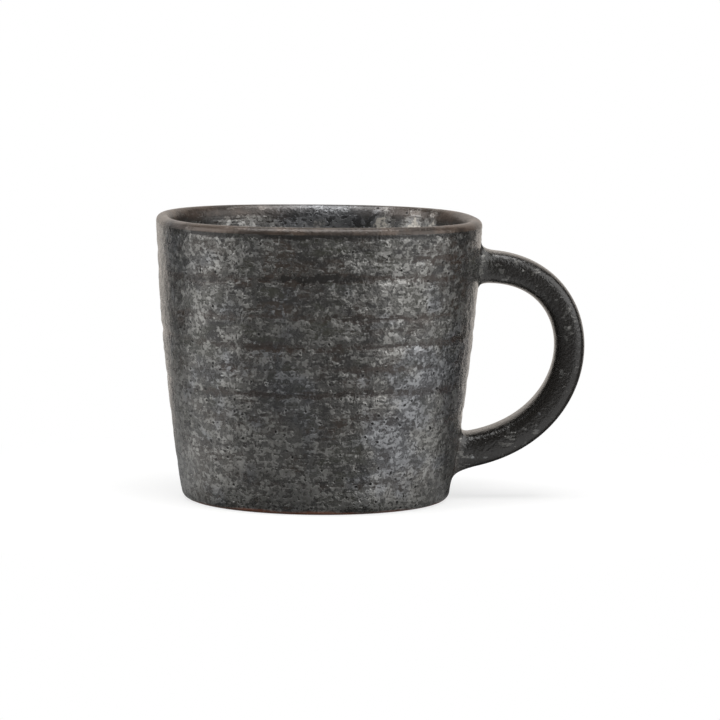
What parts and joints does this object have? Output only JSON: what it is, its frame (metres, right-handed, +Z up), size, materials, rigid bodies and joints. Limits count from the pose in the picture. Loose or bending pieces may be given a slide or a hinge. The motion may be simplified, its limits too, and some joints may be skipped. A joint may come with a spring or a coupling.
{
  "type": "espresso cup",
  "caption": "Small thrown stoneware cup with a softly squared rim, faint throwing rings, a pulled strap handle and a mottled charcoal glaze.",
  "frame": {"origin": "centre of the foot at the plane the cup stands on, on the cup's own axis; the handle makes the overall box lopsided along X, so this is not the box's centre", "axes": "+Z up out of the mouth, +X towards the handle, +Y across the handle's strap"},
  "size_m": [0.0871, 0.0654, 0.0575],
  "materials": {
    "glaze": "satin to semi-gloss reduction-fired stoneware glaze: charcoal to brown-black, mottled with lichen-like grey patches and fine pinholes, breaking to warm brown on the rim and rings; the foot's edge and ring are bare orange-brown clay"
  },
  "bodies": {
    "root": {"cup": "glaze"}
  },
  "joints": []
}
